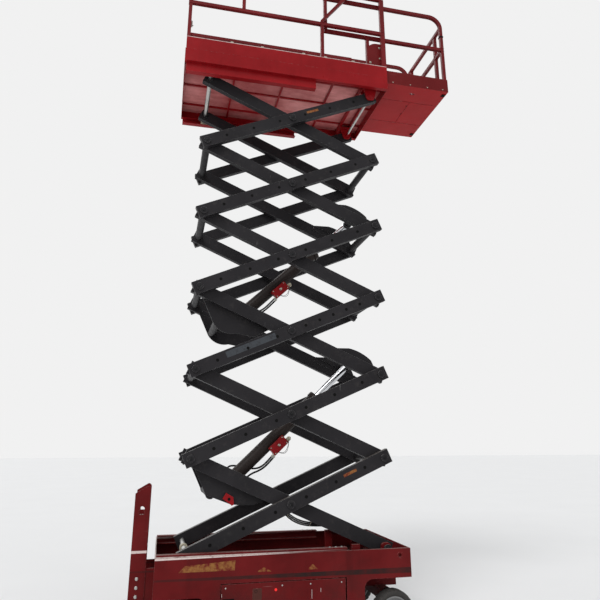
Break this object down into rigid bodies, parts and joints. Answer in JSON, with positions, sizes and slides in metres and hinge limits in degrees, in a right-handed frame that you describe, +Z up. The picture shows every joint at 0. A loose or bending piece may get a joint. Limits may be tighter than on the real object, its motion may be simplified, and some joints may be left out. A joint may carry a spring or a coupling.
{
  "type": "electric scissor lift",
  "caption": "Self-propelled scissor lift, half raised, with a roll-out deck extension, guard rails, lift cylinders, steered front wheels, swing-out trays and a rear ladder.",
  "frame": {"origin": "on the floor, under the middle of the overall box", "axes": "+Z up, +X towards the steered wheels and the deck extension, +Y to the machine's left"},
  "size_m": [3.297, 1.194, 6.8619],
  "materials": {
    "red_paint": "worn gloss enamel",
    "arm_paint": "satin dark enamel",
    "barrel_paint": "satin dark brown enamel",
    "chromed_rod": "hard chrome",
    "bright_steel": "bare turned steel",
    "nylon": "cream nylon",
    "tyre_rubber": "solid non-marking rubber",
    "rim_paint": "grey enamel",
    "black_steel": "black enamel"
  },
  "bodies": {
    "chassis": {"chassis_frame": "red_paint", "slider_channels_low": "red_paint", "ladder": "red_paint"},
    "inner_arms_1": {"inner_arms_1": "arm_paint"},
    "outer_arms_1": {"outer_arms_1": "arm_paint", "slide_shaft_low": "bright_steel"},
    "inner_arms_2": {"inner_arms_2": "arm_paint"},
    "outer_arms_2": {"outer_arms_2": "arm_paint"},
    "inner_arms_3": {"inner_arms_3": "arm_paint"},
    "outer_arms_3": {"outer_arms_3": "arm_paint"},
    "inner_arms_4": {"inner_arms_4": "arm_paint"},
    "outer_arms_4": {"outer_arms_4": "arm_paint"},
    "inner_arms_5": {"inner_arms_5": "arm_paint"},
    "outer_arms_5": {"outer_arms_5": "arm_paint"},
    "inner_arms_6": {"inner_arms_6": "arm_paint", "slide_shaft_high": "bright_steel"},
    "outer_arms_6": {"outer_arms_6": "arm_paint"},
    "sliders_low": {"slider_blocks_low": "nylon"},
    "sliders_high": {"slider_blocks_high": "nylon"},
    "barrel_1": {"lift_barrel_1": "barrel_paint", "valve_block_1": "red_paint"},
    "rod_1": {"lift_rod_1": "chromed_rod"},
    "barrel_2": {"lift_barrel_2": "barrel_paint", "valve_block_2": "red_paint"},
    "rod_2": {"lift_rod_2": "chromed_rod"},
    "platform": {"platform_deck": "red_paint", "slider_channels_high": "arm_paint", "toe_boards": "red_paint", "guard_rails": "red_paint"},
    "extension": {"extension_deck": "red_paint", "extension_rails": "red_paint"},
    "gate": {"entry_gate": "red_paint"},
    "knuckle_left": {"knuckle_left": "black_steel"},
    "knuckle_right": {"knuckle_right": "black_steel"},
    "tie_rod": {"tie_rod": "black_steel"},
    "tray_left": {"tray_left": "red_paint", "battery_pack": "black_steel"},
    "tray_right": {"tray_right": "red_paint", "hydraulic_unit": "black_steel"},
    "guard_left": {"pothole_guard_left": "black_steel"},
    "guard_right": {"pothole_guard_right": "black_steel"},
    "wheel_front_left": {"tyre_front_left": "tyre_rubber", "rim_front_left": "rim_paint"},
    "wheel_front_right": {"tyre_front_right": "tyre_rubber", "rim_front_right": "rim_paint"},
    "wheel_rear_left": {"tyre_rear_left": "tyre_rubber", "rim_rear_left": "rim_paint"},
    "wheel_rear_right": {"tyre_rear_right": "tyre_rubber", "rim_rear_right": "rim_paint"}
  },
  "joints": [
    {"name": "lift", "type": "hinge", "parent": "chassis", "child": "inner_arms_1", "pos_m": [0.6575, 0, 0.7], "axis": [0, 1, 0], "range_deg": [-19.5, 41.5]},
    {"name": "left_pin_1", "type": "hinge", "parent": "inner_arms_1", "child": "outer_arms_2", "pos_m": [-1.18579, 0, 1.50149], "axis": [0, 1, 0], "range_deg": [-83.5, 39.5]},
    {"name": "right_pin_2", "type": "hinge", "parent": "outer_arms_2", "child": "inner_arms_3", "pos_m": [0.6575, 0, 2.30297], "axis": [0, 1, 0], "range_deg": [-39.5, 83.5]},
    {"name": "left_pin_3", "type": "hinge", "parent": "inner_arms_3", "child": "outer_arms_4", "pos_m": [-1.18579, 0, 3.10446], "axis": [0, 1, 0], "range_deg": [-83.5, 39.5]},
    {"name": "right_pin_4", "type": "hinge", "parent": "outer_arms_4", "child": "inner_arms_5", "pos_m": [0.6575, 0, 3.90594], "axis": [0, 1, 0], "range_deg": [-39.5, 83.5]},
    {"name": "left_pin_5", "type": "hinge", "parent": "inner_arms_5", "child": "outer_arms_6", "pos_m": [-1.18579, 0, 4.70743], "axis": [0, 1, 0], "range_deg": [-83.5, 39.5]},
    {"name": "platform_pin", "type": "hinge", "parent": "outer_arms_6", "child": "platform", "pos_m": [0.6575, 0, 5.50891], "axis": [0, 1, 0], "range_deg": [-20, 42]},
    {"name": "centre_pin_1", "type": "hinge", "parent": "inner_arms_1", "child": "outer_arms_1", "pos_m": [-0.26415, 0, 1.10074], "axis": [0, 1, 0], "range_deg": [-83.5, 39.5]},
    {"name": "centre_pin_3", "type": "hinge", "parent": "inner_arms_3", "child": "outer_arms_3", "pos_m": [-0.26415, 0, 2.70371], "axis": [0, 1, 0], "range_deg": [-83.5, 39.5]},
    {"name": "centre_pin_5", "type": "hinge", "parent": "inner_arms_5", "child": "outer_arms_5", "pos_m": [-0.26415, 0, 4.30668], "axis": [0, 1, 0], "range_deg": [-83.5, 39.5]},
    {"name": "centre_pin_2", "type": "hinge", "parent": "outer_arms_2", "child": "inner_arms_2", "pos_m": [-0.26415, 0, 1.90223], "axis": [0, 1, 0], "range_deg": [-39.5, 83.5]},
    {"name": "centre_pin_4", "type": "hinge", "parent": "outer_arms_4", "child": "inner_arms_4", "pos_m": [-0.26415, 0, 3.5052], "axis": [0, 1, 0], "range_deg": [-39.5, 83.5]},
    {"name": "centre_pin_6", "type": "hinge", "parent": "outer_arms_6", "child": "inner_arms_6", "pos_m": [-0.26415, 0, 5.10817], "axis": [0, 1, 0], "range_deg": [-39.5, 83.5]},
    {"name": "slider_pin_low", "type": "hinge", "parent": "outer_arms_1", "child": "sliders_low", "pos_m": [-1.18579, 0, 0.7], "axis": [0, 1, 0], "range_deg": [-20, 42]},
    {"name": "slider_pin_high", "type": "hinge", "parent": "inner_arms_6", "child": "sliders_high", "pos_m": [-1.18579, 0, 5.50891], "axis": [0, 1, 0], "range_deg": [-42, 20]},
    {"name": "cylinder_pin_1", "type": "hinge", "parent": "inner_arms_1", "child": "barrel_1", "pos_m": [-0.86411, 0, 1.19805], "axis": [0, 1, 0], "range_deg": [-76.86, 36.38]},
    {"name": "rod_slide_1", "type": "slide", "parent": "barrel_1", "child": "rod_1", "axis": [0.7299, 0, 0.6836], "range_m": [-0.3852, 0.8143]},
    {"name": "cylinder_pin_2", "type": "hinge", "parent": "inner_arms_3", "child": "barrel_2", "pos_m": [-0.86411, 0, 2.80102], "axis": [0, 1, 0], "range_deg": [-76.86, 36.38]},
    {"name": "rod_slide_2", "type": "slide", "parent": "barrel_2", "child": "rod_2", "axis": [0.7299, 0, 0.6836], "range_m": [-0.3852, 0.8143]},
    {"name": "extension_slide", "type": "slide", "parent": "platform", "child": "extension", "axis": [1, 0, 0], "range_m": [-0.81, 0.09]},
    {"name": "gate_swing", "type": "hinge", "parent": "platform", "child": "gate", "pos_m": [-1.4162, 0.283, 6.07291], "axis": [0, 0, 1], "range_deg": [0, 90]},
    {"name": "steer", "type": "hinge", "parent": "chassis", "child": "knuckle_left", "pos_m": [0.6575, 0.415, 0.25], "axis": [0, 0, 1], "range_deg": [-60, 60]},
    {"name": "steer_right", "type": "hinge", "parent": "chassis", "child": "knuckle_right", "pos_m": [0.6575, -0.415, 0.25], "axis": [0, 0, 1], "range_deg": [-61, 61]},
    {"name": "tie_rod_pin", "type": "hinge", "parent": "knuckle_left", "child": "tie_rod", "pos_m": [0.5475, 0.415, 0.136], "axis": [0, 0, 1], "range_deg": [-61, 61]},
    {"name": "wheel_front_left_spin", "type": "hinge", "parent": "knuckle_left", "child": "wheel_front_left", "pos_m": [0.6575, 0.5315, 0.1905], "axis": [0, 1, 0], "continuous": true},
    {"name": "wheel_front_right_spin", "type": "hinge", "parent": "knuckle_right", "child": "wheel_front_right", "pos_m": [0.6575, -0.5315, 0.1905], "axis": [0, 1, 0], "continuous": true},
    {"name": "wheel_rear_left_spin", "type": "hinge", "parent": "chassis", "child": "wheel_rear_left", "pos_m": [-1.2125, 0.5315, 0.1905], "axis": [0, 1, 0], "continuous": true},
    {"name": "wheel_rear_right_spin", "type": "hinge", "parent": "chassis", "child": "wheel_rear_right", "pos_m": [-1.2125, -0.5315, 0.1905], "axis": [0, 1, 0], "continuous": true},
    {"name": "tray_left_swing", "type": "hinge", "parent": "chassis", "child": "tray_left", "pos_m": [0.1955, 0.583, 0.3], "axis": [0, 0, 1], "range_deg": [-85, 0]},
    {"name": "tray_right_swing", "type": "hinge", "parent": "chassis", "child": "tray_right", "pos_m": [0.1955, -0.583, 0.3], "axis": [0, 0, 1], "range_deg": [0, 85]},
    {"name": "guard_left_fold", "type": "hinge", "parent": "chassis", "child": "guard_left", "pos_m": [-0.2635, 0.57, 0.106], "axis": [1, 0, 0], "range_deg": [-85, 0]},
    {"name": "guard_right_fold", "type": "hinge", "parent": "chassis", "child": "guard_right", "pos_m": [-0.2635, -0.57, 0.106], "axis": [1, 0, 0], "range_deg": [0, 85]}
  ],
  "couplings": [
    {"joint": "left_pin_1", "follows": "lift", "ratio": -2},
    {"joint": "right_pin_2", "follows": "lift", "ratio": 2},
    {"joint": "left_pin_3", "follows": "lift", "ratio": -2},
    {"joint": "right_pin_4", "follows": "lift", "ratio": 2},
    {"joint": "left_pin_5", "follows": "lift", "ratio": -2},
    {"joint": "platform_pin", "follows": "lift", "ratio": 1},
    {"joint": "centre_pin_1", "follows": "lift", "ratio": -2},
    {"joint": "centre_pin_3", "follows": "lift", "ratio": -2},
    {"joint": "centre_pin_5", "follows": "lift", "ratio": -2},
    {"joint": "centre_pin_2", "follows": "lift", "ratio": 2},
    {"joint": "centre_pin_4", "follows": "lift", "ratio": 2},
    {"joint": "centre_pin_6", "follows": "lift", "ratio": 2},
    {"joint": "slider_pin_low", "follows": "lift", "ratio": 1},
    {"joint": "slider_pin_high", "follows": "lift", "ratio": -1},
    {"joint": "cylinder_pin_1", "follows": "lift", "ratio": -1.84},
    {"joint": "rod_slide_1", "follows": "lift", "m_per_rad": 1.1173},
    {"joint": "cylinder_pin_2", "follows": "lift", "ratio": -1.84},
    {"joint": "rod_slide_2", "follows": "lift", "m_per_rad": 1.1173},
    {"joint": "steer_right", "follows": "steer", "ratio": 1},
    {"joint": "tie_rod_pin", "follows": "steer", "ratio": -1}
  ]
}
